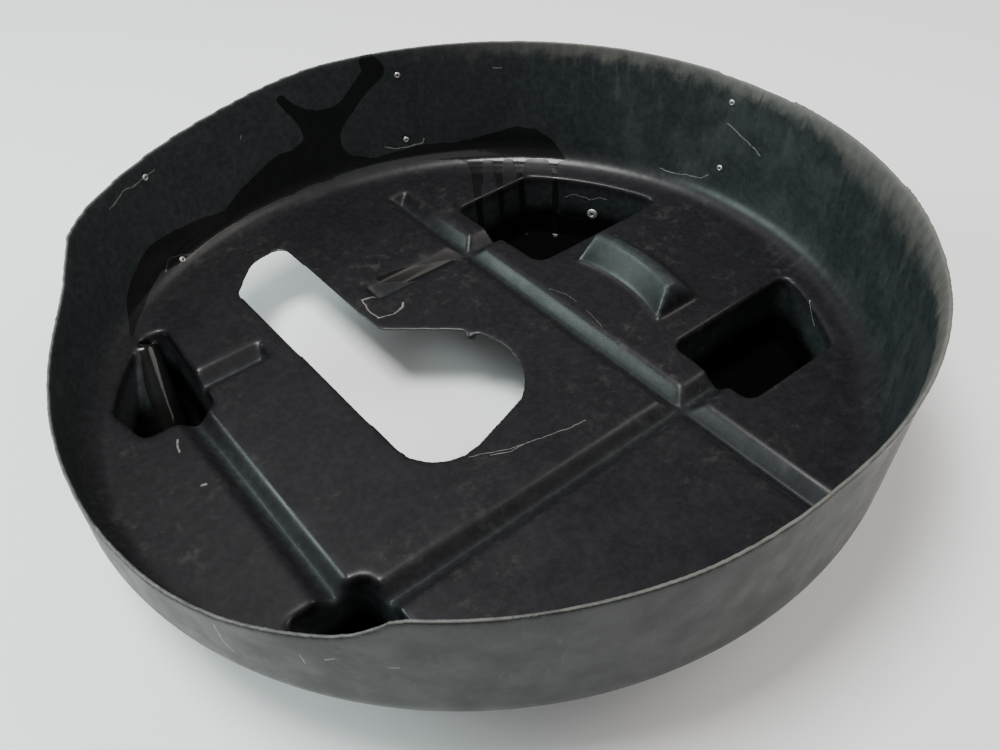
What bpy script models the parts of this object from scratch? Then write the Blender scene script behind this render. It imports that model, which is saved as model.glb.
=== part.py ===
"""Oil drain pan: one round moulded tub on four corner pockets, with seven blind rivets.

Metres, +Z up. The undersides of the four pockets stand on Z = 0. X runs along the cross
grooves and Y along the long grooves of the floor. Each mesh is made round the tub axis, and the
objects are then placed so that the origin is the middle of the bounding box's bottom.
"""
import math

import bmesh
import bpy
import numpy as np
from mathutils import Matrix, Vector

# ---- driving dimensions (metres) ----
SHEET = 0.0030             # wall thickness of the moulding
RIM_RADIUS = 0.3200        # outside of the rim
RIM_HEIGHT = 0.1890        # outside height at the high part of the rim
FOOT_RADIUS = 0.3057       # outside of the wall carried down to the floor underside
FLOOR = 0.0680             # upper surface of the floor
FOOT_FILLET = 0.0200       # inner fillet between wall and floor
FILLET_STEPS = 5
FOOT_RIVET_STEP = 3.5      # where on the fillet the foot rivet sits, in steps from the floor
LIP_FLARE = 0.0025         # outward turn of the rim on the flared side
LIP_DEPTH = 0.0120         # height over which the lip turns out

GROOVE_HALF = 0.0125       # half width of a V groove at floor level
GROOVE_DEPTH = 0.0120
GROOVE_A_X = -0.2060       # long groove, left
GROOVE_C_X = 0.0825        # long groove, right
GROOVE_B_Y = -0.1395       # cross groove, front
GROOVE_D_Y = 0.1290        # cross groove, back, in two lengths

POCKET_FLOOR = SHEET       # upper surface of the pocket bottoms
POCKET_DRAFT = 0.0055      # inward lean of each straight pocket face from top to bottom
# inward lean of the face along the wall
OUTER_DRAFT = {"back": 0.0055, "right": 0.0055, "left": 0.0055, "front": 0.0135}
POCKET_CORNER = 0.0100     # radius of the upright corners
POCKET_EDGE = 0.0075       # the same where a side meets the curved outer face

BLOCK_FOOT = (0.1480, 0.1940)   # inner and outer radius of the raised block at floor level
BLOCK_TOP = (0.1625, 0.1700)    # the same on its top
BLOCK_Y = (-0.0620, 0.0460)     # ends of the block at floor level
BLOCK_END_LEAN = 0.0065
BLOCK_HEIGHT = 0.0240

# height of the rim at angles round the tub, in degrees and metres
RIM_LINE = (
    (0, 0.1868), (10, 0.1876), (24, 0.1890), (80, 0.1890), (90, 0.1846), (98, 0.1802),
    (110, 0.1765), (120, 0.1742), (130, 0.1728), (134, 0.1681), (137, 0.1566), (140, 0.1457),
    (143, 0.1395), (147, 0.1345), (153, 0.1295), (160, 0.1262), (168, 0.1270), (180, 0.1320),
    (192, 0.1400), (203, 0.1460), (208, 0.1485), (213, 0.1542), (219, 0.1619), (221.5, 0.1668),
    (224, 0.1764), (226, 0.1867), (228, 0.1904), (270, 0.1910), (290, 0.1895), (345, 0.1888),
    (360, 0.1868),
)
# how far the rim of the used tub has been pushed inwards, at angles round the tub
PUSH_LINE = (
    (0, 0.0), (153, 0.0), (162, 0.0019), (168, 0.0040), (177, 0.0058), (186, 0.0047),
    (192, 0.0034), (199, 0.0008), (205, 0.0), (240, 0.0), (254, 0.0009), (262, 0.0029),
    (271, 0.0050), (280, 0.0036), (290, 0.0016), (300, 0.0), (360, 0.0),
)
# outward turn of the lip at angles round the tub, as a share of LIP_FLARE
LIP_LINE = ((0, 1.0), (12, 0.4), (24, 0.0), (255, 0.0), (275, 0.5), (300, 1.0), (360, 1.0))

# key shaped opening: a straight leg with rounded corners, and a round end
KEY_LEG = (
    (-0.1052, -0.0879, 0.036), (-0.1095, 0.2060, 0.010), (-0.0800, 0.2390, 0.030),
    (-0.0470, 0.2435, 0.010), (-0.0445, 0.0823, 0.014),
)
KEY_ROUND_AT = (-0.0422, -0.0043)
KEY_ROUND_RADIUS = 0.0638
KEY_ROUND_TURN = (44.0, -55.0)      # degrees, from the leg round to the front

STUB_AT = (0.0116, 0.0288)      # moulding stub left on the edge of the opening
STUB_RADIUS = 0.0045

# rivets: name, angle round the tub, height of the axis, and the wall it goes through; the one
# at the foot sits on the fillet
RIVETS = (
    ("right_upper", 5.4, 0.1660, "wall"), ("right_lower", 5.4, 0.1030, "wall"),
    ("back_upper", 66.4, 0.1640, "wall"), ("back_lower", 66.4, 0.0990, "wall"),
    ("left_upper", 115.5, 0.1600, "wall"), ("left_lower", 115.5, 0.0, "foot"),
    ("pocket", 28.35, 0.0335, "pocket"),
)
RIVET_GAP = 0.0003
WELD = 0.000012            # points closer than this are joined

COLLECTION = bpy.context.scene.collection


def clear_scene():
    for obj in list(bpy.data.objects):
        bpy.data.objects.remove(obj, do_unlink=True)


def material(name, colour, roughness, metallic=0.0):
    mat = bpy.data.materials.new(name)
    mat.use_nodes = True
    shader = mat.node_tree.nodes["Principled BSDF"]
    shader.inputs["Base Color"].default_value = (*colour, 1.0)
    shader.inputs["Roughness"].default_value = roughness
    shader.inputs["Metallic"].default_value = metallic
    mat.diffuse_color = (*colour, 1.0)
    return mat


def solid(name, verts, faces):
    mesh = bpy.data.meshes.new(name)
    mesh.from_pydata([tuple(v) for v in verts], [], faces)
    mesh.validate()
    obj = bpy.data.objects.new(name, mesh)
    COLLECTION.objects.link(obj)
    return obj


def split_quads(obj):
    """Turn the faces into triangles, so that bent quads have one clear shape."""
    work = bmesh.new()
    work.from_mesh(obj.data)
    bmesh.ops.triangulate(work, faces=work.faces)
    work.to_mesh(obj.data)
    work.free()


def weld(obj):
    """Join points that lie almost on each other, which closes hair thin gaps."""
    work = bmesh.new()
    work.from_mesh(obj.data)
    bmesh.ops.remove_doubles(work, verts=work.verts, dist=WELD)
    work.to_mesh(obj.data)
    work.free()


def combine(target, cutter, operation):
    """Apply one exact Boolean to target and remove the cutter."""
    split_quads(cutter)
    cutter.hide_render = True
    cutter.display_type = "WIRE"
    mod = target.modifiers.new("bool", "BOOLEAN")
    mod.operation = operation
    mod.solver = "EXACT"
    mod.object = cutter
    graph = bpy.context.evaluated_depsgraph_get()
    mesh = bpy.data.meshes.new_from_object(target.evaluated_get(graph))
    target.modifiers.clear()
    old = target.data
    target.data = mesh
    bpy.data.meshes.remove(old)
    weld(target)
    bpy.data.objects.remove(cutter, do_unlink=True)
    return target


def loft(name, rings):
    """Closed solid through rings of the same length, with a cap on the first and last ring."""
    count = len(rings[0])
    verts = [p for ring in rings for p in ring]
    faces = [list(range(count))[::-1]]
    for k in range(len(rings) - 1):
        low, high = k * count, (k + 1) * count
        for i in range(count):
            j = (i + 1) % count
            faces.append([low + i, low + j, high + j, high + i])
    faces.append([(len(rings) - 1) * count + i for i in range(count)])
    return solid(name, verts, faces)


def rounded(corners, steps=4):
    """Polygon through (x, y, radius) corners, each corner turned into an arc."""
    out = []
    total = len(corners)
    for i in range(total):
        here = np.array(corners[i][:2])
        radius = corners[i][2]
        back = np.array(corners[i - 1][:2]) - here
        ahead = np.array(corners[(i + 1) % total][:2]) - here
        back /= np.linalg.norm(back)
        ahead /= np.linalg.norm(ahead)
        half = 0.5 * math.acos(max(-1.0, min(1.0, float(back @ ahead))))
        if radius <= 0 or half > 1.54:
            out.append(tuple(here))
            continue
        run = radius / math.tan(half)
        centre = here + (back + ahead) / np.linalg.norm(back + ahead) * radius / math.sin(half)
        start = here + back * run - centre
        end = here + ahead * run - centre
        a0 = math.atan2(start[1], start[0])
        turn = (math.atan2(end[1], end[0]) - a0 + math.pi) % (2 * math.pi) - math.pi
        for k in range(steps + 1):
            a = a0 + turn * k / steps
            out.append((centre[0] + radius * math.cos(a), centre[1] + radius * math.sin(a)))
    return out


def at_height(outline, z):
    return [(p[0], p[1], z) for p in outline]


def angles():
    """Directions round the tub, closer together where the rim changes height."""
    out = []
    deg = 0.0
    while deg < 359.9:
        out.append(deg)
        quick = 130 <= deg < 148 or 218 <= deg < 230
        deg += 2.0 if quick else 4.0
    return out


def line_at(table, deg):
    return float(np.interp(deg % 360.0, [p[0] for p in table], [p[1] for p in table]))


def wall_radius(z):
    """Outside radius of the wall at height z."""
    share = (z - (FLOOR - SHEET)) / (RIM_HEIGHT - (FLOOR - SHEET))
    return FOOT_RADIUS + (RIM_RADIUS - FOOT_RADIUS) * share


def tub_volume(name, grow, top_over):
    """Space inside the tub, grown by grow; grow = SHEET gives the outside of the moulding."""
    floor = FLOOR - grow
    fillet = FOOT_FILLET + grow
    lean = math.atan2(RIM_RADIUS - FOOT_RADIUS, RIM_HEIGHT - FLOOR + SHEET)
    steps = FILLET_STEPS
    rings = [[] for _ in range(steps + 5)]
    for deg in angles():
        c = math.cos(math.radians(deg))
        s = math.sin(math.radians(deg))
        rim = line_at(RIM_LINE, deg)
        flare = LIP_FLARE * line_at(LIP_LINE, deg)
        push = line_at(PUSH_LINE, deg)
        profile = []
        foot = wall_radius(floor) - (SHEET - grow) / math.cos(lean)
        run = fillet * math.tan(0.5 * (0.5 * math.pi - lean))
        cr = foot - run
        cz = floor + fillet
        for k in range(steps + 1):
            a = (0.5 * math.pi - lean) * k / steps
            profile.append((cr + fillet * math.sin(a), cz - fillet * math.cos(a)))
        top = rim + top_over
        for z, turn in ((rim - LIP_DEPTH, 0.0), (rim - 0.45 * LIP_DEPTH, 0.30), (rim, 1.0)):
            share = (z - floor) / (rim - floor)
            r = wall_radius(z) - (SHEET - grow) / math.cos(lean)
            profile.append((r - push * share - flare * (share - turn), z))
        profile.append((profile[-1][0], top + 0.0005))
        if top_over <= 0:
            profile.pop()
        for ring, (r, z) in zip(rings, profile):
            ring.append((r * c, r * s, z))
    rings = [ring for ring in rings if ring]
    count = len(rings[0])
    verts = [p for ring in rings for p in ring]
    faces = [list(range(count))[::-1]]
    for k in range(len(rings) - 1):
        low, high = k * count, (k + 1) * count
        for i in range(count):
            j = (i + 1) % count
            faces.append([low + i, low + j, high + j, high + i])
    verts.append((0.0, 0.0, 0.175 + 1.2 * top_over))
    base = (len(rings) - 1) * count
    for i in range(count):
        faces.append([base + i, base + (i + 1) % count, len(verts) - 1])
    return solid(name, verts, faces)


def arc_points(radius, start, end, steps):
    return [(radius * math.cos(a), radius * math.sin(a)) for a in np.linspace(start, end, steps)]


def pocket_outline(name, lean, outer_lean):
    """Outline of a pocket, anticlockwise: straight sides moved in by lean, and the side along
    the wall moved in by outer_lean."""
    if name == "back":
        low, high, r = 0.0660 + lean, 0.1860 - lean, 0.2740 - outer_lean
        sides = [(0.1125 + lean, high, POCKET_CORNER), (0.1165 + lean, low, POCKET_CORNER)]
        outer = arc_points(r, math.asin(low / r), math.asin(high / r), 8)
    elif name == "right":
        low, high, r = -0.1720 + lean, -0.0890 - lean, 0.2780 - outer_lean
        sides = [(0.1240 + lean, high, POCKET_CORNER), (0.1210 + lean, low, POCKET_CORNER)]
        outer = arc_points(r, math.asin(low / r), math.asin(high / r), 7)
    elif name == "left":
        low, high, r = 0.0900 + lean, 0.2050 - lean, 0.2870 - outer_lean
        sides = [(-0.2455 + outer_lean, low + 0.0030, POCKET_EDGE),
                 (-0.1870 - lean, low, POCKET_CORNER), (-0.1800 - lean, high, POCKET_EDGE)]
        outer = arc_points(r, math.pi - math.asin(high / r), math.pi - math.asin(0.1340 / r), 7)
    else:
        side, high, r = -0.1810 - lean, -0.1145 - lean, 0.2720 - outer_lean
        sides = [(side, high, POCKET_CORNER)]
        outer = arc_points(r, math.pi + math.asin(-high / r), math.pi + math.acos(-side / r), 4)
    last = len(outer) - 1
    return sides + [(x, y, POCKET_EDGE if k in (0, last) else 0)
                    for k, (x, y) in enumerate(outer)]


def pocket_volume(name, outer_draft, grow):
    rings = []
    for z in (POCKET_FLOOR - grow, FLOOR + 0.004):
        share = (FLOOR - z) / (FLOOR - POCKET_FLOOR)
        corners = pocket_outline(name, POCKET_DRAFT * share - grow, outer_draft * share - grow)
        rings.append(at_height(rounded(corners), z))
    return loft(name, rings)


def groove_volume(name, along, centre, start, end, grow, blunt=(False, False)):
    """V groove along 'x' or 'y'; a blunt end is closed by a steep end face."""
    slope = GROOVE_DEPTH / GROOVE_HALF
    valley = FLOOR - GROOVE_DEPTH - grow * math.hypot(1.0, slope)
    top = FLOOR + 0.003
    half = (top - valley) / slope
    lean = 0.5 * (top - valley)
    ends = []
    for pos, shut, sign in ((start, blunt[0], 1.0), (end, blunt[1], -1.0)):
        tip = pos - sign * grow * 1.1 if shut else pos
        ends.append((tip - sign * lean * 0.25 if shut else tip, tip + sign * lean * 0.75
                     if shut else tip))
    pts = []
    for (rim_at, valley_at) in ends:
        pts += [(rim_at, -half, top), (rim_at, half, top), (valley_at, 0.0, valley)]
    if along == "x":
        verts = [(p[0], centre + p[1], p[2]) for p in pts]
        faces = [[0, 1, 2], [3, 5, 4], [0, 2, 5, 3], [2, 1, 4, 5], [1, 0, 3, 4]]
    else:
        verts = [(centre + p[1], p[0], p[2]) for p in pts]
        faces = [[2, 1, 0], [4, 5, 3], [3, 5, 2, 0], [5, 4, 1, 2], [4, 3, 0, 1]]
    return solid(name, verts, faces)


def grooves(tag, grow):
    out = []
    out.append(groove_volume("a" + tag, "y", GROOVE_A_X, -0.130, 0.115, grow))
    out.append(groove_volume("c" + tag, "y", GROOVE_C_X, -0.278, 0.246, grow, (True, True)))
    out.append(groove_volume("b" + tag, "x", GROOVE_B_Y, -0.198, 0.150, grow))
    out.append(groove_volume("d" + tag, "x", GROOVE_D_Y, -0.022, 0.150, grow, (True, False)))
    out.append(groove_volume("e" + tag, "x", GROOVE_D_Y - 0.004, -0.210, -0.126, grow,
                             (False, True)))
    return out


def block_volume(name, shrink):
    """Raised arc shaped block; shrink = SHEET gives the hollow beneath it."""
    drop = 0.004
    steps = 10
    rings = []
    height = BLOCK_HEIGHT - shrink
    for k in range(steps + 1):
        u = k / steps
        ring = []
        base = -drop - shrink
        for radius_pair, z in ((0, base), (1, height), (2, height), (3, base)):
            share = z / BLOCK_HEIGHT
            lean = BLOCK_END_LEAN * share + shrink
            y = (BLOCK_Y[0] + lean) * (1 - u) + (BLOCK_Y[1] - lean) * u
            if radius_pair < 2:
                r = BLOCK_FOOT[0] + (BLOCK_TOP[0] - BLOCK_FOOT[0]) * share + shrink * 1.2
            else:
                r = BLOCK_FOOT[1] + (BLOCK_TOP[1] - BLOCK_FOOT[1]) * share - shrink * 1.4
            ring.append((math.sqrt(r * r - y * y), y, FLOOR + z))
        if ring[2][0] - ring[1][0] < 0.0005:
            middle = 0.5 * (ring[1][0] + ring[2][0])
            ring[1] = (middle - 0.0003, ring[1][1], ring[1][2])
            ring[2] = (middle + 0.0003, ring[2][1], ring[2][2])
        rings.append(ring)
    return loft(name, rings)


def cone_between(name, start, end, r_start, r_end, sides=24):
    axis = Vector(end) - Vector(start)
    turn = axis.to_track_quat("Z", "Y").to_matrix()
    rings = []
    for point, r in ((start, r_start), (end, r_end)):
        ring = []
        for k in range(sides):
            a = 2 * math.pi * k / sides
            ring.append(tuple(Vector(point) + turn @ Vector((r * math.cos(a),
                                                             r * math.sin(a), 0.0))))
        rings.append(ring)
    return loft(name, rings)


def boss_volume(name, shrink):
    """Half round ramp on the outer side of the left pocket."""
    top = (-0.2016, 0.2028, FLOOR - 0.0064)
    low = (-0.2190, 0.1400, POCKET_FLOOR - 0.006)
    return cone_between(name, low, top, 0.0190 - shrink, 0.0110 - shrink)


def prism(name, outline, z0, z1):
    return loft(name, [at_height(outline, z0), at_height(outline, z1)])


def key_outline():
    """Outline of the opening, anticlockwise."""
    start, end = (math.radians(a) for a in KEY_ROUND_TURN)
    round_end = [(KEY_ROUND_AT[0] + x, KEY_ROUND_AT[1] + y, 0)
                 for x, y in arc_points(KEY_ROUND_RADIUS, start, end, 14)]
    return rounded(list(KEY_LEG) + round_end, 5)[::-1]


def wall_frame(deg, z, kind):
    """Point on the inner face and unit axis pointing into the tub, for a rivet."""
    a = math.radians(deg)
    out = Vector((math.cos(a), math.sin(a), 0.0))
    lean = math.atan2(RIM_RADIUS - FOOT_RADIUS, RIM_HEIGHT - FLOOR + SHEET)
    if kind == "wall":
        share = (z - FLOOR) / (line_at(RIM_LINE, deg) - FLOOR)
        flare = LIP_FLARE * line_at(LIP_LINE, deg)
        r = wall_radius(z) - SHEET / math.cos(lean) - flare * share
    elif kind == "foot":
        bend = math.pi / 2 - lean
        foot = wall_radius(FLOOR) - SHEET / math.cos(lean)
        step = bend * FOOT_RIVET_STEP / FILLET_STEPS
        reach = FOOT_FILLET * math.cos(0.5 * bend / FILLET_STEPS)
        r = foot - FOOT_FILLET * math.tan(0.5 * bend) + reach * math.sin(step)
        z = FLOOR + FOOT_FILLET - reach * math.cos(step)
        lean = math.pi / 2 - step
    else:
        lean = math.atan2(POCKET_DRAFT, FLOOR - POCKET_FLOOR)
        r = 0.27384 - POCKET_DRAFT * (FLOOR - z) / (FLOOR - POCKET_FLOOR)
    axis = -out * math.cos(lean) + Vector((0, 0, 1)) * math.sin(lean)
    return out * r + Vector((0, 0, z)), axis


def turned(name, profile, point, axis, sides, mat):
    """Closed solid of revolution; profile is (radius, height), first and last may be on axis."""
    turn = axis.to_track_quat("Z", "Y").to_matrix().to_4x4()
    place = Matrix.Translation(point) @ turn
    verts = []
    rows = []
    for r, h in profile:
        if r < 1e-7:
            rows.append([len(verts)])
            verts.append(place @ Vector((0, 0, h)))
            continue
        row = []
        for k in range(sides):
            a = 2 * math.pi * k / sides
            row.append(len(verts))
            verts.append(place @ Vector((r * math.cos(a), r * math.sin(a), h)))
        rows.append(row)
    faces = []
    loops = list(zip(rows, rows[1:]))
    if len(rows[0]) > 1:
        loops.append((rows[-1], rows[0]))
    for low, high in loops:
        for k in range(sides):
            j = (k + 1) % sides
            if len(low) == 1:
                faces.append([low[0], high[j], high[k]])
            elif len(high) == 1:
                faces.append([low[k], low[j], high[0]])
            else:
                faces.append([low[k], low[j], high[j], high[k]])
    obj = solid(name, verts, faces)
    obj.data.materials.append(mat)
    for poly in obj.data.polygons:
        poly.use_smooth = True
    return obj


def rivet(name, deg, z, kind, mats):
    """Blind rivet set through the sheet: body, retained mandrel and backing washer."""
    point, axis = wall_frame(deg, z, kind)
    big = kind == "pocket"
    shank = 0.0020 if big else 0.0016
    bore = shank - 0.00045
    flange = 0.0055 if big else 0.0030
    head = 0.0014 if big else 0.0010
    washer_out = 0.0060 if big else 0.0045
    thick = 0.0009
    back = -SHEET - RIVET_GAP - thick
    tail = back - 0.0028
    body = [
        (bore, head * 0.75 + RIVET_GAP), (bore + 0.0004, head + RIVET_GAP),
        (flange * 0.62, head * 0.95 + RIVET_GAP), (flange * 0.9, head * 0.55 + RIVET_GAP),
        (flange, RIVET_GAP + 0.0002), (flange, RIVET_GAP), (shank, RIVET_GAP),
        (shank, back - 0.0003), (shank * 1.7, back - 0.0005), (shank * 1.8, back - 0.0012),
        (shank * 1.5, back - 0.0020), (shank, tail + 0.0002), (shank * 0.95, tail),
        (bore, tail),
    ]
    pin = bore - RIVET_GAP
    stem = [
        (0.0, head * 0.45), (pin * 0.8, head * 0.55), (pin, head * 0.35),
        (pin, tail - 0.0003), (shank * 0.95, tail - 0.0004), (shank * 0.98, tail - 0.0010),
        (shank * 0.6, tail - 0.0017), (0.0, tail - 0.0019),
    ]
    hole = shank + RIVET_GAP
    washer = [
        (hole, -SHEET - RIVET_GAP), (hole, back), (washer_out * 0.96, back),
        (washer_out, back + 0.0002), (washer_out, -SHEET - RIVET_GAP - 0.0001),
        (washer_out * 0.98, -SHEET - RIVET_GAP),
    ]
    turned("rivet_" + name + "_body", body[::-1], point, axis, 24, mats["rivet"])
    turned("rivet_" + name + "_mandrel", stem[::-1], point, axis, 20, mats["mandrel"])
    turned("rivet_" + name + "_washer", washer, point, axis, 24, mats["washer"])


def rivet_hole(deg, z, kind):
    point, axis = wall_frame(deg, z, kind)
    radius = (0.0020 if kind == "pocket" else 0.0016) + RIVET_GAP
    a = point + axis * 0.004
    b = point - axis * 0.007
    return cone_between("hole", tuple(b), tuple(a), radius, radius, 16)


def place_on_origin():
    """Stand the middle of the bounding box's bottom on the world origin."""
    points = [v.co for obj in bpy.data.objects for v in obj.data.vertices]
    low = [min(p[k] for p in points) for k in range(3)]
    high = [max(p[k] for p in points) for k in range(3)]
    for obj in bpy.data.objects:
        obj.location = (-0.5 * (low[0] + high[0]), -0.5 * (low[1] + high[1]), -low[2])


def moulding():
    outside = tub_volume("outside", SHEET, 0.0)
    inside = tub_volume("inside", 0.0, 0.030)
    for (tag, volume, grow) in (("o", outside, SHEET), ("i", inside, 0.0)):
        for name, outer_draft in OUTER_DRAFT.items():
            pocket = pocket_volume(name, outer_draft, grow)
            if name == "left":
                combine(pocket, boss_volume("boss" + tag, grow), "DIFFERENCE")
            combine(volume, pocket, "UNION")
        for groove in grooves(tag, grow):
            combine(volume, groove, "UNION")
        combine(volume, block_volume("block" + tag, grow), "DIFFERENCE")
    shell = combine(outside, inside, "DIFFERENCE")
    stub = prism("stub", [(STUB_AT[0] + p[0], STUB_AT[1] + p[1])
                          for p in arc_points(STUB_RADIUS, 0.0, 2 * math.pi, 13)[:-1]],
                 FLOOR - 0.0080, FLOOR - 0.0012)
    key = prism("key", key_outline(), FLOOR - 0.02, FLOOR + 0.02)
    combine(shell, key, "DIFFERENCE")
    combine(shell, stub, "UNION")
    for name, deg, z, kind in RIVETS:
        combine(shell, rivet_hole(deg, z, kind), "DIFFERENCE")
    shell.name = "tray_moulding"
    shell.data.name = "tray_moulding"
    return shell


def main():
    clear_scene()
    shell = moulding()
    shell.data.materials.clear()
    shell.data.materials.append(material("black_moulded_plastic", (0.030, 0.034, 0.036), 0.5))
    for poly in shell.data.polygons:
        poly.use_smooth = False
        poly.material_index = 0
    mats = {
        "rivet": material("rivet_aluminium", (0.62, 0.62, 0.60), 0.38, 1.0),
        "mandrel": material("mandrel_steel", (0.32, 0.31, 0.30), 0.42, 1.0),
        "washer": material("washer_zinc", (0.50, 0.50, 0.49), 0.45, 1.0),
    }
    for name, deg, z, kind in RIVETS:
        rivet(name, deg, z, kind, mats)
    place_on_origin()


main()
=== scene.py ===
"""Looks of the oil drain pan: the moulded tub with soft edges, worn plastic, an oil film and
blind rivets, on a plain pale floor. Metres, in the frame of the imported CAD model."""
import math

import bpy
import numpy as np
from mathutils import Matrix, Vector


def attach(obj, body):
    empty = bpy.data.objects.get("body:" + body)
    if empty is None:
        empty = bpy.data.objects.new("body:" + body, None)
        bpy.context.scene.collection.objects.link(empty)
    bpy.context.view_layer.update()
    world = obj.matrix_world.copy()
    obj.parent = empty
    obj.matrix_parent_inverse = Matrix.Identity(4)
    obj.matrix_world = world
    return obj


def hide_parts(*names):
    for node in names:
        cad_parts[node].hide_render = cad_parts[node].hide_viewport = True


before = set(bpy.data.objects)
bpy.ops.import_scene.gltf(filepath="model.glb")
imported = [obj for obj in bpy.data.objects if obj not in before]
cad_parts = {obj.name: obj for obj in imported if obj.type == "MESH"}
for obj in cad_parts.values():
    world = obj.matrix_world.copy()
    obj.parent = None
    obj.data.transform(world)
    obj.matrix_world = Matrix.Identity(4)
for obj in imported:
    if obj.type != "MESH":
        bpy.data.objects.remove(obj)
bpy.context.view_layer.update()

SCENE = bpy.context.scene

# ---- the tub's own frame ----
AXIS = Vector((-0.0061, -0.0019))   # where the tub's upright axis stands
FLOOR_TOP = 0.068
WALL_ARC = 0.305                    # radius that turns degrees round the wall into a length
FOOT_RADIUS = 0.302                 # where the foot fillet meets the wall
RIM_TOP = 0.191

# ---- finer mesh of the moulding ----
VOXEL = 0.0015
SMOOTH_ROUNDS = 16
SMOOTH_STEP = 0.5
KEEP_SHARE = 0.34                   # share of the faces kept after smoothing
RIM_HEIGHTS = (0.115, 0.135)        # over these the rim band fades in
RIM_REACH = (0.300, 0.306)
RIM_KEEP = 0.35                     # share of its unsmoothed shape that the thin rim keeps
ROUND_REACH = (0.284, 0.292)        # over these radii the flats are turned into arcs
FILM_GUARD = 0.004                  # this close to the edge of the oil film no faces are merged
FACET_STEP = 4.0                    # degrees between the flats of the CAD walls
FINE_STEP = 2.0
FINE_ZONES = ((130.0, 148.0), (218.0, 230.0))


# ------------------------------------------------------------------ mesh of the tub
def dense_copy(node):
    """Even fine mesh over the CAD node's solid."""
    copy = bpy.data.objects.new("dense", node.data.copy())
    SCENE.collection.objects.link(copy)
    mod = copy.modifiers.new("even", "REMESH")
    mod.mode = "VOXEL"
    mod.voxel_size = VOXEL * 1.0
    graph = bpy.context.evaluated_depsgraph_get()
    mesh = bpy.data.meshes.new_from_object(copy.evaluated_get(graph))
    bpy.data.objects.remove(copy, do_unlink=True)
    return mesh


def points_of(mesh):
    co = np.empty(len(mesh.vertices) * 3)
    mesh.vertices.foreach_get("co", co)
    return co.reshape(-1, 3)


def polar(co):
    x, y = co[:, 0] - AXIS.x, co[:, 1] - AXIS.y
    return np.hypot(x, y), np.degrees(np.arctan2(y, x)) % 360.0


def step_between(value, low, high):
    t = np.clip((value - low) / (high - low), 0.0, 1.0)
    return t * t * (3.0 - 2.0 * t)


def soften(mesh):
    """Round the edges by moving each point towards its neighbours; the rim moves less."""
    co = points_of(mesh)
    ends = np.empty(len(mesh.edges) * 2, np.int64)
    mesh.edges.foreach_get("vertices", ends)
    a, b = ends.reshape(-1, 2).T
    count = np.bincount(a, minlength=len(co)) + np.bincount(b, minlength=len(co))
    count = np.maximum(count, 1)[:, None]
    start = co.copy()
    for _ in range(SMOOTH_ROUNDS):
        total = np.stack([np.bincount(a, co[b, k], len(co)) + np.bincount(b, co[a, k], len(co))
                          for k in range(3)], axis=1)
        co = co + SMOOTH_STEP * (total / count - co)
    radius, _ = polar(start)
    keep = RIM_KEEP * step_between(start[:, 2], *RIM_HEIGHTS) * step_between(radius, *RIM_REACH)
    return start * keep[:, None] + co * (1.0 - keep)[:, None]


def round_out(co):
    """Turn the flats of the CAD walls into a true round wall."""
    radius, angle = polar(co)
    edge = [0.0]
    while edge[-1] < 359.9:
        fine = any(low <= edge[-1] < high for low, high in FINE_ZONES)
        edge.append(edge[-1] + (FINE_STEP if fine else FACET_STEP))
    edge = np.array(edge[:-1] + [360.0])
    k = np.clip(np.searchsorted(edge, angle, side="right") - 1, 0, len(edge) - 2)
    half = np.radians(0.5 * (edge[k + 1] - edge[k]))
    middle = 0.5 * (edge[k + 1] + edge[k])
    grow = np.cos(np.radians(angle - middle)) / np.cos(half)
    grow = 1.0 + (grow - 1.0) * step_between(radius, *ROUND_REACH)
    out = co.copy()
    out[:, 0] = AXIS.x + (co[:, 0] - AXIS.x) * grow
    out[:, 1] = AXIS.y + (co[:, 1] - AXIS.y) * grow
    return out


def make_tub():
    """The moulding as a fine mesh with rounded edges and a round wall."""
    mesh = dense_copy(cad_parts["tray_moulding"])
    co = round_out(soften(mesh))
    mesh.vertices.foreach_set("co", co.ravel())
    mesh.update()
    tub = bpy.data.objects.new("tub", mesh)
    SCENE.collection.objects.link(tub)
    # the mesh stays fine along the edge of the oil film, so the film keeps a clean outline
    free = tub.vertex_groups.new(name="free")
    free.add(np.flatnonzero(np.abs(film_gap(mesh)) > FILM_GUARD).tolist(), 1.0, "REPLACE")
    thin = tub.modifiers.new("thin", "DECIMATE")
    thin.ratio = KEEP_SHARE
    thin.vertex_group = free.name
    graph = bpy.context.evaluated_depsgraph_get()
    light = bpy.data.meshes.new_from_object(tub.evaluated_get(graph))
    tub.modifiers.clear()
    tub.vertex_groups.clear()
    tub.data = light
    bpy.data.meshes.remove(mesh)
    light.name = "tub"
    light.polygons.foreach_set("use_smooth", [True] * len(light.polygons))
    light.materials.clear()
    return tub


# ------------------------------------------------------------------ marks on the tub
FAR = 9.0                           # metres: away from every mark
FILM_LIMIT = 0.05                   # metres: the film distance is cut off here
ARM_BLEND = 0.012
DRIP_BLEND = 0.004
DRIP_TOP = 0.008                    # drips and pools lie below this height above the floor
INWARD = 0.3                        # normals that lean out less than this are on the inside
UPWARD = 0.4
OUTER_REACH = (0.296, 0.302)


def capsule(u, v, chain):
    """Distance to a chain of (u, v, half width) stations, less the width."""
    best = np.full(len(u), FAR)
    for (u0, v0, w0), (u1, v1, w1) in zip(chain, chain[1:]):
        du, dv = u1 - u0, v1 - v0
        t = np.clip(((u - u0) * du + (v - v0) * dv) / max(du * du + dv * dv, 1e-12), 0.0, 1.0)
        d = np.hypot(u - u0 - du * t, v - v0 - dv * t) - (w0 + (w1 - w0) * t)
        best = np.minimum(best, d)
    return best


def blend_min(a, b, soft):
    h = np.clip(0.5 + 0.5 * (b - a) / soft, 0.0, 1.0)
    return b * (1.0 - h) + a * h - soft * h * (1.0 - h)


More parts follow.
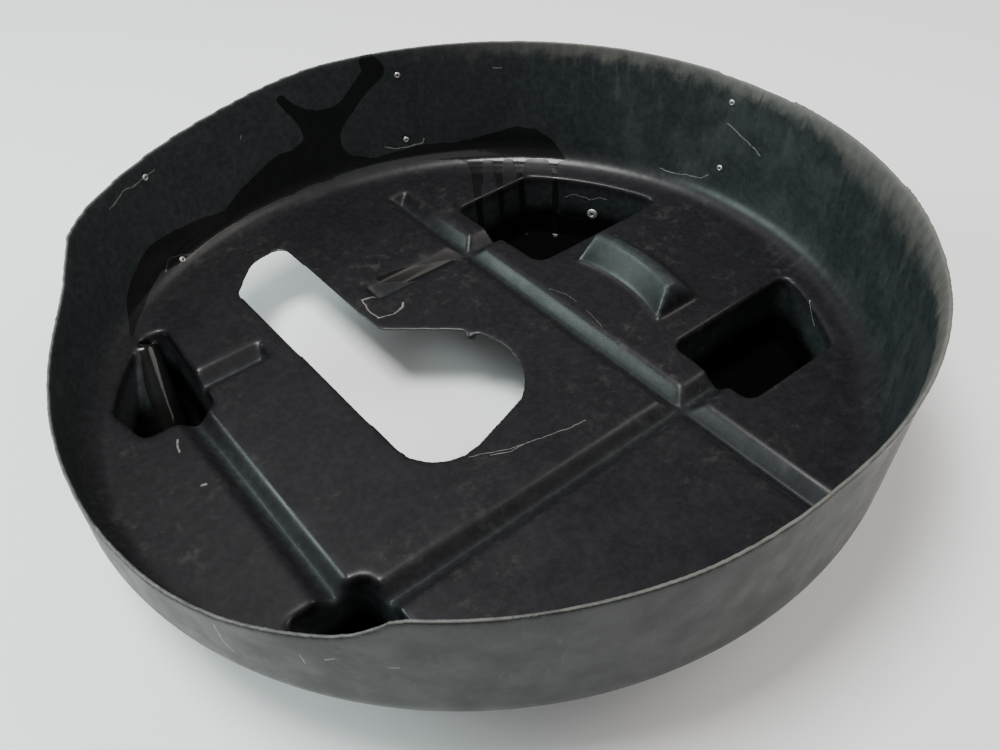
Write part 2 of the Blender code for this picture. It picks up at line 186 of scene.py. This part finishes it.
def wall_run(co):
    """Length along the wall, and length up it with the foot fillet unrolled, in metres."""
    radius, angle = polar(co)
    along = np.radians(angle) * WALL_ARC
    up = (co[:, 2] - FLOOR_TOP) - np.maximum(0.0, FOOT_RADIUS - radius)
    return along, up


def wall_chain(stations):
    """(degrees, height above the floor in mm, half width in mm) to metres."""
    return [(math.radians(d) * WALL_ARC, h / 1000, w / 1000) for d, h, w in stations]


# wet band along the foot of the back wall: (degrees, lower edge, upper edge), edges in mm
# measured up the unrolled wall
FILM_BAND = (
    (35.0, 5, -4), (36.5, 1, 10), (38.6, 2, 23), (41.9, 1, 33), (45.7, 0, 36), (49.5, -1, 30),
    (54.3, -3, 23), (57.0, 2, 22), (60.0, 4, 22), (63.4, 7, 22), (68.0, 9, 21), (72.8, 11, 19),
    (76.0, 11, 24), (78.5, 11, 30), (82.7, 11, 40), (86.0, 11, 50), (90.4, 10, 52),
    (94.7, 10, 44), (99.5, 10, 35), (103.7, 10, 24), (108.9, 9, 30), (114.0, 5, 36),
    (117.0, 8, 38), (120.1, 14, 40), (123.2, 10, 36), (129.1, 0, 22), (133.8, -6, -1),
    (136.0, -9, -14),
)
# arms of the film that run up to the rim: (degrees, height, half width)
FILM_ARMS = (
    ((71.2, 113, 8), (70.3, 104, 9.5), (72.8, 92, 7.5), (76.4, 75, 8), (79.0, 66, 11),
     (81.5, 55, 17), (82.5, 40, 22)),
    ((87.4, 99, 4.5), (86.3, 89, 5.5), (84.5, 78, 8), (82.5, 66, 14)),
)
# drips from the band down into the back pocket, in plan (x, y, half width in mm)
DRIP_CHAINS = (
    ((176, 238, 8), (168, 224, 6), (153, 205, 4.5), (143, 191, 4), (139, 184, 3.5)),
    ((193, 222, 6), (180, 205, 3.5), (170, 191, 3), (166, 184, 3)),
    ((211, 210, 7), (200, 197, 3.5), (193, 186, 3), (192, 182, 3)),
    ((238, 189, 7), (229, 177, 3), (220, 164, 2.5), (214, 158, 2.5)),
)
# pools and splashes lying on the floor, in plan (mm)
POOL_CHAINS = (
    ((-4, 141, 3), (14, 137, 6), (40, 131, 7), (64, 128, 4)),
    ((-197, 196, 9), (-205, 172, 12), (-211, 150, 12), (-214, 136, 9)),
)


def mark(mesh, name, values):
    layer = mesh.attributes.new(name, "FLOAT", "POINT")
    layer.data.foreach_set("value", values.astype(np.float32))


def facing_in(mesh, co, radius):
    """True where the surface is on the inside of the tub."""
    normal = np.empty(len(co) * 3)
    mesh.vertices.foreach_get("normal", normal)
    normal = normal.reshape(-1, 3)
    outward = (normal[:, 0] * (co[:, 0] - AXIS.x) + normal[:, 1] * (co[:, 1] - AXIS.y)) / radius
    return (outward < INWARD) | (normal[:, 2] > UPWARD)


def film_gap(mesh):
    """Distance to the edge of the oil film, less than 0 inside it."""
    co = points_of(mesh)
    radius, angle = polar(co)
    along, up = wall_run(co)
    where = [row[0] for row in FILM_BAND]
    low = np.interp(angle, where, [row[1] / 1000 for row in FILM_BAND], FAR, FAR)
    high = np.interp(angle, where, [row[2] / 1000 for row in FILM_BAND], -FAR, -FAR)
    film = np.maximum(up - high, low - up)
    for chain in FILM_ARMS:
        film = blend_min(film, capsule(along, up, wall_chain(chain)), ARM_BLEND)
    px, py = (co[:, 0] - AXIS.x), (co[:, 1] - AXIS.y)
    drips = np.full(len(co), FAR)
    for chain in DRIP_CHAINS + POOL_CHAINS:
        drips = np.minimum(drips, capsule(px, py, [(a / 1000, b / 1000, w / 1000)
                                                   for a, b, w in chain]))
    drips = np.maximum(drips, co[:, 2] - FLOOR_TOP - DRIP_TOP)
    film = blend_min(film, drips, DRIP_BLEND)
    film = np.where(facing_in(mesh, co, radius), film, FILM_LIMIT)
    return np.clip(film, -FILM_LIMIT, FILM_LIMIT)


def paint_marks(tub):
    """Store what the shader needs to know about each point of the tub."""
    mesh = tub.data
    co = points_of(mesh)
    radius, angle = polar(co)
    inner = facing_in(mesh, co, radius)
    mark(mesh, "film", film_gap(mesh))
    mark(mesh, "outer", np.where(inner, 0.0, 1.0) * step_between(radius, *OUTER_REACH))
    mark(mesh, "turn", angle)
    mark(mesh, "reach", radius)


# ------------------------------------------------------------------ node helpers
class Nodes:
    """Short hand for building a shader."""

    def __init__(self, name):
        self.mat = bpy.data.materials.new(name)
        self.mat.use_nodes = True
        self.tree = self.mat.node_tree
        self.shader = self.tree.nodes["Principled BSDF"]
        self.place = self.tree.nodes.new("ShaderNodeTexCoord").outputs["Object"]

    def link(self, value, socket):
        if hasattr(value, "is_linked"):
            self.tree.links.new(value, socket)
        elif isinstance(value, tuple) and len(value) == 3 and socket.type == "RGBA":
            socket.default_value = (*value, 1.0)
        else:
            socket.default_value = value

    def node(self, kind, settings=None, **inputs):
        made = self.tree.nodes.new(kind)
        for key, value in (settings or {}).items():
            setattr(made, key, value)
        for key, value in inputs.items():
            self.link(value, made.inputs[key.replace("_", " ")])
        return made

    def maths(self, operation, a, b=0.0, c=0.0):
        made = self.tree.nodes.new("ShaderNodeMath")
        made.operation = operation
        for value, socket in zip((a, b, c), made.inputs):
            self.link(value, socket)
        return made.outputs[0]

    def vector(self, operation, a, b, output="Vector", scale=False):
        made = self.tree.nodes.new("ShaderNodeVectorMath")
        made.operation = operation
        self.link(a, made.inputs[0])
        self.link(b, made.inputs["Scale"] if scale else made.inputs[1])
        return made.outputs[output]

    def scale(self, vector, factors):
        made = self.tree.nodes.new("ShaderNodeVectorMath")
        made.operation = "MULTIPLY"
        self.link(vector, made.inputs[0])
        made.inputs[1].default_value = factors
        return made.outputs[0]

    def noise(self, size, detail=4.0, rough=0.55, vector=None, distortion=0.0):
        made = self.node("ShaderNodeTexNoise", Scale=1.0 / size, Detail=detail,
                         Roughness=rough, Distortion=distortion)
        self.link(vector if vector is not None else self.place, made.inputs["Vector"])
        return made.outputs["Fac"]

    def ramp(self, value, low, high, out_low=0.0, out_high=1.0, smooth=True):
        made = self.tree.nodes.new("ShaderNodeMapRange")
        made.interpolation_type = "SMOOTHSTEP" if smooth else "LINEAR"
        for value_in, socket in zip((value, low, high, out_low, out_high), made.inputs):
            self.link(value_in, socket)
        return made.outputs["Result"]

    def mix(self, share, a, b):
        made = self.tree.nodes.new("ShaderNodeMix")
        made.data_type = "RGBA"
        self.link(share, made.inputs["Factor"])
        self.link(a, made.inputs[6])
        self.link(b, made.inputs[7])
        return made.outputs[2]

    def read(self, name):
        made = self.tree.nodes.new("ShaderNodeAttribute")
        made.attribute_name = name
        return made.outputs["Fac"]

    def facing(self, turn, degrees):
        """1 on the side of the tub at this angle, -1 on the other side."""
        return self.maths("COSINE", self.maths("RADIANS", self.maths("SUBTRACT", turn, degrees)))

    def times(self, *values):
        out = values[0]
        for value in values[1:]:
            out = self.maths("MULTIPLY", out, value)
        return out

    def set(self, **inputs):
        for key, value in inputs.items():
            self.link(value, self.shader.inputs[key.replace("_", " ")])


# ------------------------------------------------------------------ plastic of the tub
# scratches as lines of points, with a half width in mm; on "wall" and "outer" a point is
# (degrees round the tub, height in mm), on "floor" it is (x, y) in mm from the tub's axis
SCRATCHES = (
    ("wall", ((70.6, 95.5), (69.0, 92.6), (66.5, 91.4), (63.3, 92.8), (63.0, 96.5)), 0.55),
    ("wall", ((34.5, 47.5), (33.0, 51.5), (29.0, 50.0), (27.0, 53.0), (25.3, 52.3)), 0.40),
    ("wall", ((36.4, 33.0), (35.6, 27.5), (33.0, 25.5), (29.9, 26.5), (29.4, 29.0)), 0.55),
    ("wall", ((17.1, 82.4), (14.0, 81.8), (11.0, 84.5), (8.6, 85.8), (7.5, 91.5)), 0.38),
    ("wall", ((5.7, 146.6), (2.0, 140.0), (358.1, 131.5)), 0.60),
    ("wall", ((124.2, 157.2), (120.5, 161.5), (116.6, 160.8), (113.3, 160.4)), 0.50),
    ("wall", ((119.6, 80.5), (117.8, 84.5), (115.0, 82.5), (113.0, 75.5)), 0.60),
    ("wall", ((333.2, 66.4), (331.6, 62.8), (329.2, 57.4)), 0.50),
    ("wall", ((96.0, 150.0), (96.4, 148.0)), 0.60),
    ("wall", ((48.0, 163.0), (49.4, 163.6)), 0.50),
    ("floor", ((-72, -81), (-50, -91), (-20, -101), (15, -107)), 0.26),
    ("floor", ((-60, -89), (-46, -95), (-30, -97)), 0.22),
    ("floor", ((98, 30), (103, 12), (103, 2)), 0.16),
    ("floor", ((102, -12), (100, -26), (97, -36)), 0.14),
    ("floor", ((-33, 125), (-36, 110), (-35, 94), (-24, 90), (-16, 92)), 0.60),
    ("floor", ((-33, 126), (-27, 124), (-22, 122)), 1.20),
    ("floor", ((-16, 92), (-12, 94), (-9, 98)), 1.20),
    ("floor", ((-226, 74), (-229, 69), (-231, 62)), 0.90),
    ("floor", ((-231, 21), (-229, 20)), 1.10),
    ("floor", ((150, 142), (153, 136)), 0.70),
    ("outer", ((206.6, 136.7), (206.3, 120.0), (206.5, 106.0)), 0.60),
    ("outer", ((215.9, 134.6), (216.1, 123.9)), 0.50),
    ("outer", ((218.5, 134.8), (219.5, 139.7)), 0.50),
    ("outer", ((224.6, 136.3), (225.6, 137.4)), 0.60),
)


def near_line(n, flat, points, half):
    """1 on a thin line through the points, 0 away from it; flat is a place in two numbers."""
    out = None
    for start, end in zip(points, points[1:]):
        a, b = (Vector((p[0], p[1], 0.0)) for p in (start, end))
        along = b - a
        rel = n.vector("SUBTRACT", flat, a)
        dot = n.vector("DOT_PRODUCT", rel, along / along.length_squared, output="Value")
        share = n.node("ShaderNodeClamp", Value=dot).outputs[0]
        foot = n.vector("SCALE", along, share, scale=True)
        gap = n.vector("DISTANCE", rel, foot, output="Value")
        out = gap if out is None else n.maths("MINIMUM", out, gap)
    return n.ramp(out, half * LINE_CORE, half * LINE_FADE, 1.0, 0.0)


def to_flat(kind, points):
    """Scratch points in metres along and up the wall, or in plan."""
    if kind == "floor":
        return [(AXIS.x + x / 1000, AXIS.y + y / 1000) for x, y in points]
    return [(math.radians(d if d < WRAP_AT or kind == "outer" else d - 360.0) * WALL_ARC,
             h / 1000) for d, h in points]


WRAP_AT = 345.0                     # degrees: inside scratches past this count from 0 again
LINE_CORE, LINE_FADE = 0.0003, 0.0014
BEND_SCALE, BEND_SIZE = 60.0, 0.006
BUMP_GRAIN, BUMP_FINE, BUMP_BROAD, BUMP_SCRATCH = 0.00005, 0.00020, 0.0005, 0.00012
PLASTIC_IOR = 1.34
WHITE, BLACK = (1.0, 1.0, 1.0), (0.0, 0.0, 0.0)

# degrees round the tub: the wall that is paler inside, the warm side outside, the worn side
PALE_AT, WARM_AT, WORN_AT = 150.0, 330.0, 328.0

# sizes of the noises, in metres
FLOOR_PATCH, WALL_PATCH, OUTER_PATCH = 0.022, 0.050, 0.045
DUST_SIZE, DUST_PATCH = 0.012, 0.110
SCUFF_SIZE, SCUFF_PATCH, SCUFF_STRETCH = 0.0045, 0.085, 0.16
MOTTLE_SIZE, SPECK_SIZE, GRAIN_SIZE = 0.0055, 0.0022, 0.0011
STREAK_SIZE, STREAK_STRETCH = 0.0085, 0.22
TORN_SIZE, CLOUD_SIZE, RAGGED_SIZE = 0.016, 0.045, 0.030
RIM_NOISE, LINE_NOISE = 0.010, 0.004
ROUGH_SIZE, BUMP_FINE_SIZE, BUMP_BROAD_SIZE = 0.030, 0.016, 0.070

# how far each layer covers what lies under it
DUST_SHARE, SCUFF_SHARE, SPECK_SHARE = 0.30, 0.30, 0.35
WORN_SHARE, STREAK_SHARE, CLOUD_SHARE = 0.42, 0.20, 0.15
RIM_SHARE, SCRATCH_SHARE = 0.75, 0.58
# the first share is how far the painted shade covers the bottoms of the pockets
POCKET_SHADE_SHARE, WET_SHARE = 0.94, 0.82
REFLECTION_CUT = 0.45                   # painted shade: share of the reflection taken away in the grooves and on the oil film

# heights in metres: where the marks start and end
FLOOR_TO_WALL = (FLOOR_TOP + 0.001, FLOOR_TOP + 0.022)
POCKET_WALLS = (FLOOR_TOP - 0.014, FLOOR_TOP - 0.004)
# below these heights the grooves get painted shade: part of their reflection is cut
GROOVE_SHADE_HEIGHTS = (FLOOR_TOP - 0.009, FLOOR_TOP - 0.002)
# between these heights the painted shade in the bottoms of the pockets fades out
POCKET_SHADE_HEIGHTS = (0.026, 0.046)
# the first: how far noise tears the upper edge of the painted pocket shade
POCKET_SHADE_TORN, WORN_TORN, RAGGED_EDGE = 0.020, 0.034, 0.006
LIP_DROP = 0.003                    # the worn band is measured down from this far under the top
WORN_START = 0.004
WORN_DEPTHS = (0.018, 0.034)
STREAK_DEPTHS = (0.020, 0.105)
FILM_EDGE = 0.0007

# radius of the rim's outer edge at two heights, and how far in from it the rubbed edge reaches
RIM_LEAN = (0.120, 0.191, 0.3118, 0.3187)
RIM_WIDTH = (-0.012, -0.004)
RIM_FADE = (0.100, 0.118)
WALL_SCRATCH_REACH = (0.250, 0.256)

# roughness
BASE_ROUGH = (0.31, 0.41)
WALL_ROUGH, WORN_ROUGH, DUST_ROUGH = 0.09, 0.18, 0.12
# the first: roughness under the painted shade in the pockets
POCKET_SHADE_ROUGH, WET_ROUGH = (0.80, 0.80, 0.80), (0.21, 0.21, 0.21)

# colours of the plastic and of what lies on it
FLOOR_TONES = ((0.0072, 0.0066, 0.0080), (0.0102, 0.0094, 0.0110))
WALL_TONES = ((0.0110, 0.0138, 0.0146), (0.0175, 0.0215, 0.0225))
OUTER_TONES = ((0.0042, 0.0056, 0.0049), (0.0066, 0.0084, 0.0074))
WARM_TONE = (0.0110, 0.0096, 0.0078)
DUST_TONE = (0.062, 0.064, 0.058)
SCUFF_TONE = (0.070, 0.074, 0.070)
SPECK_TONE = (0.12, 0.12, 0.11)
WORN_TONE = (0.165, 0.152, 0.132)
STREAK_TONE = (0.105, 0.104, 0.094)
CLOUD_TONE = (0.085, 0.090, 0.090)
RIM_TONE = (0.115, 0.112, 0.102)
SCRATCH_TONE = (0.26, 0.26, 0.24)
# painted shade: near black for the bottoms of the pockets
POCKET_SHADE_TONE = (0.0012, 0.0012, 0.0012)
WET_TONE = (0.0040, 0.0040, 0.0036)
# painted shade: specular tint that cuts the reflection on the outside of the tub
OUTER_REFLECTION_SHADE = (0.22, 0.25, 0.23)
# painted shade: specular tint that cuts the reflection on the oil film
WET_REFLECTION_SHADE = (0.10, 0.09, 0.06)


def plastic():
    """Black plastic with dust, wear, scratches and the oil film, with painted shade in the
    pockets, the grooves and on the outside.
    """
    n = Nodes("tub_plastic")
    reach, turn, film, outer = (n.read(k) for k in ("reach", "turn", "film", "outer"))
    split = n.node("ShaderNodeSeparateXYZ", Vector=n.place)
    height = split.outputs["Z"]

    # broad tones: floor brown black, walls blue green black
    above = n.ramp(height, *FLOOR_TO_WALL)
    wallness = n.maths("MAXIMUM", above, n.ramp(height, *POCKET_WALLS, 0.85, 0.0))
    floor_tone = n.mix(n.noise(FLOOR_PATCH, 6.0), *FLOOR_TONES)
    wall_tone = n.mix(n.noise(WALL_PATCH, 5.0), *WALL_TONES)
    pale = n.ramp(n.facing(turn, PALE_AT), -0.2, 0.9, 1.0, 1.5)
    wall_tone = n.vector("MULTIPLY", wall_tone, pale)
    tone = n.mix(wallness, floor_tone, wall_tone)
    outside_tone = n.mix(n.noise(OUTER_PATCH, 6.0), *OUTER_TONES)
    warm = n.ramp(n.facing(turn, WARM_AT), 0.2, 0.9)
    outside_tone = n.mix(warm, outside_tone, WARM_TONE)
    tone = n.mix(outer, tone, outside_tone)

    # fine dust and rubbed patches
    dust = n.ramp(n.noise(DUST_SIZE, 8.0, 0.68), 0.50, 0.74)
    patch = n.ramp(n.noise(DUST_PATCH, 3.0), 0.45, 0.66)
    dust = n.times(dust, patch)
    tone = n.mix(n.times(dust, DUST_SHARE), tone, DUST_TONE)
    scuff_place = n.scale(n.place, (1.0, 1.0, SCUFF_STRETCH))
    scuff = n.ramp(n.noise(SCUFF_SIZE, 5.0, 0.7, vector=scuff_place), 0.55, 0.78)
    scuff = n.times(scuff, above, n.ramp(n.noise(SCUFF_PATCH, 3.0), 0.42, 0.62))
    tone = n.mix(n.times(scuff, SCUFF_SHARE), tone, SCUFF_TONE)
    mottle = n.ramp(n.noise(MOTTLE_SIZE, 5.0, 0.72), 0.35, 0.68, 0.72, 1.22)
    tone = n.vector("MULTIPLY", tone, mottle)
    speck = n.ramp(n.noise(SPECK_SIZE, 2.0, 0.4), 0.72, 0.78)
    tone = n.mix(n.times(speck, patch, SPECK_SHARE), tone, SPECK_TONE)

    # worn light band under the right hand part of the lip, with streaks running down from it
    facing_worn = n.facing(turn, WORN_AT)
    side = n.ramp(facing_worn, -0.25, 0.60)
    reach_down = n.ramp(facing_worn, 0.93, 1.00, *WORN_DEPTHS)
    depth = n.maths("SUBTRACT", RIM_TOP - LIP_DROP, height)
    streak_place = n.scale(n.place, (1.0, 1.0, STREAK_STRETCH))
    streaks = n.noise(STREAK_SIZE, 7.0, 0.70, vector=streak_place)
    torn = n.maths("SUBTRACT", n.noise(TORN_SIZE, 6.0, 0.65), 0.5)
    inside = n.maths("SUBTRACT", 1.0, outer)
    band = n.ramp(n.maths("ADD", depth, n.times(torn, WORN_TORN)),
                  WORN_START, reach_down, 1.0, 0.0)
    worn = n.times(band, side, inside, n.ramp(streaks, 0.30, 0.60, 0.62, 1.0))
    tone = n.mix(n.times(worn, WORN_SHARE), tone, WORN_TONE)
    long_streak = n.ramp(streaks, 0.50, 0.70)
    fade = n.ramp(depth, *STREAK_DEPTHS, 1.0, 0.0)
    tone = n.mix(n.times(long_streak, fade, side, inside, STREAK_SHARE), tone, STREAK_TONE)
    cloud = n.times(n.ramp(n.noise(CLOUD_SIZE, 7.0, 0.62), 0.46, 0.66), side, inside, above)
    tone = n.mix(n.times(cloud, CLOUD_SHARE), tone, CLOUD_TONE)

    # the very edge of the rim is rubbed grey all round
    edge_gap = n.maths("SUBTRACT", reach, n.ramp(height, *RIM_LEAN, smooth=False))
    geometry = n.tree.nodes.new("ShaderNodeNewGeometry")
    facing = n.node("ShaderNodeSeparateXYZ", Vector=geometry.outputs["Normal"])
    upward = n.ramp(facing.outputs["Z"], 0.30, 0.85)
    rim = n.times(upward, n.ramp(edge_gap, *RIM_WIDTH), n.ramp(height, *RIM_FADE))
    rim = n.times(rim, n.ramp(n.noise(RIM_NOISE, 5.0, 0.7), 0.30, 0.62, 0.35, 1.0))
    tone = n.mix(n.times(rim, RIM_SHARE), tone, RIM_TONE)

    # scratches, bent a little by noise
    wobble = n.tree.nodes.new("ShaderNodeTexNoise")
    wobble.inputs["Scale"].default_value = BEND_SCALE
    n.link(n.place, wobble.inputs["Vector"])
    bend = n.scale(n.vector("SUBTRACT", wobble.outputs["Color"], Vector((0.5, 0.5, 0.5))),
                   (BEND_SIZE, BEND_SIZE, 0.0))
    signed = n.maths("SUBTRACT", turn, n.times(n.maths("GREATER_THAN", turn, WRAP_AT), 360.0))
    on_wall = n.node("ShaderNodeCombineXYZ", X=n.times(signed, math.radians(WALL_ARC)), Y=height)
    on_outer = n.node("ShaderNodeCombineXYZ", X=n.times(turn, math.radians(WALL_ARC)), Y=height)
    flat_of = {
        "wall": n.vector("ADD", on_wall.outputs[0], bend),
        "outer": n.vector("ADD", on_outer.outputs[0], bend),
        "floor": n.vector("ADD", n.scale(n.place, (1.0, 1.0, 0.0)), bend),
    }
    level = n.times(n.ramp(height, FLOOR_TOP - 0.002, FLOOR_TOP - 0.001), inside,
                    n.ramp(height, FLOOR_TOP + 0.002, FLOOR_TOP + 0.004, 1.0, 0.0))
    where_seen = {
        "wall": n.times(inside, n.ramp(reach, *WALL_SCRATCH_REACH)),
        "outer": outer,
        "floor": level,
    }
    lines = None
    for kind, points, half in SCRATCHES:
        line = n.times(near_line(n, flat_of[kind], to_flat(kind, points), half),
                       where_seen[kind])
        lines = line if lines is None else n.maths("MAXIMUM", lines, line)
    lines = n.times(lines, n.ramp(n.noise(LINE_NOISE, 3.0), 0.30, 0.55, 0.45, 1.0))
    tone = n.mix(n.times(lines, SCRATCH_SHARE), tone, SCRATCH_TONE)

    # painted shade: the bottoms of the pockets darkened to near black, with a torn upper edge
    pocket_shade = n.ramp(n.maths("ADD", height, n.times(torn, POCKET_SHADE_TORN)), *POCKET_SHADE_HEIGHTS, 1.0, 0.0)
    pocket_shade = n.times(pocket_shade, inside)
    tone = n.mix(n.times(pocket_shade, POCKET_SHADE_SHARE), tone, POCKET_SHADE_TONE)

    # wet film, crisp edged
    ragged = n.maths("SUBTRACT", n.noise(RAGGED_SIZE, 3.0, 0.5), 0.5)
    edge = n.maths("ADD", film, n.times(ragged, RAGGED_EDGE))
    wet = n.ramp(edge, -FILM_EDGE, FILM_EDGE, 1.0, 0.0)
    tone = n.mix(n.times(wet, WET_SHARE), tone, WET_TONE)

    rough = n.ramp(n.noise(ROUGH_SIZE, 6.0, 0.6), 0.30, 0.70, *BASE_ROUGH)
    rough = n.maths("ADD", rough, n.times(wallness, WALL_ROUGH))
    rough = n.maths("ADD", rough, n.times(worn, WORN_ROUGH))
    rough = n.maths("ADD", rough, n.times(dust, DUST_ROUGH))
    rough = n.mix(n.times(pocket_shade, 0.9), rough, POCKET_SHADE_ROUGH)
    rough = n.mix(wet, rough, WET_ROUGH)

    height_map = n.maths("ADD", n.times(n.noise(GRAIN_SIZE, 2.0, 0.5), BUMP_GRAIN),
                         n.times(n.noise(BUMP_FINE_SIZE, 4.0), BUMP_FINE))
    height_map = n.maths("ADD", height_map,
                         n.times(n.noise(BUMP_BROAD_SIZE, 2.0), BUMP_BROAD))
    height_map = n.maths("SUBTRACT", height_map, n.times(lines, BUMP_SCRATCH))
    height_map = n.maths("MULTIPLY", height_map, n.ramp(wet, 0.0, 1.0, 1.0, 0.65))
    bump = n.node("ShaderNodeBump", Strength=0.55, Distance=1.0)
    n.link(height_map, bump.inputs["Height"])

    # painted shade: the reflection is cut on the outside, in the grooves, on the oil film and in
    # the bottoms of the pockets
    groove_shade = n.times(inside, n.ramp(height, *GROOVE_SHADE_HEIGHTS, 1.0, 0.0))
    sheen = n.mix(outer, WHITE, OUTER_REFLECTION_SHADE)
    sheen = n.mix(n.times(groove_shade, REFLECTION_CUT), sheen, BLACK)
    sheen = n.mix(n.times(wet, REFLECTION_CUT), sheen, WET_REFLECTION_SHADE)
    sheen = n.mix(pocket_shade, sheen, BLACK)

    n.set(Specular_Tint=sheen)
    n.set(Base_Color=tone, Roughness=rough, Normal=bump.outputs["Normal"], IOR=PLASTIC_IOR)
    n.set(Coat_Weight=n.times(wet, 0.25), Coat_Roughness=0.08)
    return n.mat


STAIN_SIZE, DENT_SIZE, DENT_DEPTH = 0.0016, 0.0007, 0.0004
STAIN_ROUGH = 0.2                   # roughness that a stain adds


def metal(name, light, dark, rough):
    """Stained metal, rougher where it is stained."""
    n = Nodes(name)
    stain = n.ramp(n.noise(STAIN_SIZE, 4.0, 0.6), 0.40, 0.62)
    tone = n.mix(stain, light, dark)
    bump = n.node("ShaderNodeBump", Strength=0.4, Distance=DENT_DEPTH)
    n.link(n.noise(DENT_SIZE, 3.0), bump.inputs["Height"])
    n.set(Base_Color=tone, Metallic=0.85, Normal=bump.outputs["Normal"],
          Roughness=n.ramp(stain, 0.0, 1.0, rough, rough + STAIN_ROUGH))
    return n.mat


# ------------------------------------------------------------------ stage, light and camera
SHEET_HALF = 14.0
SHEET_DROP = 0.0004                 # keeps the sheet clear of the feet
CENTRE = (0.0, 0.0, 0.07)           # every lamp points here
# lamps: name, place, width, height of a rectangle or None, watts, tint or None
LAMPS = (
    ("window", (-2.2, 2.0, 1.5), 1.5, 1.1, 96.0, (0.80, 1.0, 0.98)),
    ("overhead", (-0.6, 0.1, 2.6), 0.9, None, 92.0, None),
    ("sheen", (0.10, 1.40, 2.2), 1.2, None, 3.0, None),
    ("fill", (-0.9, -2.6, 2.2), 2.4, None, 23.0, None),
    ("right", (2.2, -1.2, 2.3), 1.8, None, 50.0, (1.0, 0.94, 0.87)),
)
WORLD_STRENGTH = 0.20


def floor_sheet():
    """Plain pale floor."""
    mesh = bpy.data.meshes.new("floor")
    half = SHEET_HALF
    mesh.from_pydata([(-half, -half, 0), (half, -half, 0), (half, half, 0), (-half, half, 0)],
                     [], [[0, 1, 2, 3]])
    floor = bpy.data.objects.new("floor", mesh)
    SCENE.collection.objects.link(floor)
    floor.location.z = -SHEET_DROP
    n = Nodes("floor_paint")
    n.set(Base_Color=n.mix(n.noise(0.8, 3.0), (0.89, 0.89, 0.89), (0.91, 0.91, 0.91)),
          Roughness=0.9)
    n.shader.inputs["Specular IOR Level"].default_value = 0.1
    mesh.materials.append(n.mat)


def area(name, place, width, height, watts, tint):
    lamp = bpy.data.lights.new(name, "AREA")
    lamp.energy = watts
    lamp.size = width
    if height:
        lamp.shape = "RECTANGLE"
        lamp.size_y = height
    if tint:
        lamp.color = tint
    obj = bpy.data.objects.new(name, lamp)
    obj.location = place
    obj.rotation_euler = (Vector(CENTRE) - Vector(place)).to_track_quat("-Z", "Y").to_euler()
    SCENE.collection.objects.link(obj)


def lights():
    world = bpy.data.worlds.new("studio")
    SCENE.world = world
    world.use_nodes = True
    background = world.node_tree.nodes["Background"]
    background.inputs["Color"].default_value = (1.0, 1.0, 1.0, 1.0)
    background.inputs["Strength"].default_value = WORLD_STRENGTH
    for row in LAMPS:
        area(*row)


FOCAL = 0.940                       # focal length as a share of the picture's width
SENSOR = 36.0
VIEW_TURN = (0.62732, 0.74856, -0.06130)    # yaw, pitch and roll in radians
EYE_FROM_AXIS = (-0.31702, -0.46169)
EYE_HEIGHT = 0.56606


def camera():
    """The photograph's view."""
    yaw, pitch, roll = VIEW_TURN
    eye = Vector((AXIS.x + EYE_FROM_AXIS[0], AXIS.y + EYE_FROM_AXIS[1], EYE_HEIGHT))
    ahead = Vector((math.sin(yaw) * math.cos(pitch), math.cos(yaw) * math.cos(pitch),
                    -math.sin(pitch)))
    right = Vector((math.cos(yaw), -math.sin(yaw), 0.0))
    up = right.cross(ahead)
    right, up = (math.cos(roll) * right + math.sin(roll) * up,
                 math.cos(roll) * up - math.sin(roll) * right)
    cam = bpy.data.cameras.new("camera")
    cam.sensor_width = SENSOR
    cam.lens = SENSOR * FOCAL
    cam.clip_start = 0.01
    obj = bpy.data.objects.new("camera", cam)
    SCENE.collection.objects.link(obj)
    obj.matrix_world = Matrix(((right.x, up.x, -ahead.x, eye.x), (right.y, up.y, -ahead.y, eye.y),
                               (right.z, up.z, -ahead.z, eye.z), (0, 0, 0, 1)))
    SCENE.camera = obj


# ------------------------------------------------------------------ put together
tub = make_tub()
paint_marks(tub)
tub.data.materials.append(plastic())
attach(tub, "root")
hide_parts("tray_moulding")

FINISH = {
    "body": metal("rivet_aluminium", (0.62, 0.62, 0.60), (0.34, 0.33, 0.31), 0.34),
    "mandrel": metal("mandrel_steel", (0.16, 0.15, 0.14), (0.07, 0.06, 0.05), 0.42),
    "washer": metal("washer_zinc", (0.50, 0.50, 0.49), (0.30, 0.30, 0.29), 0.40),
}
for name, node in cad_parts.items():
    if name.startswith("rivet_"):
        node.data.materials.clear()
        node.data.materials.append(FINISH[name.rsplit("_", 1)[1]])

floor_sheet()
lights()
camera()
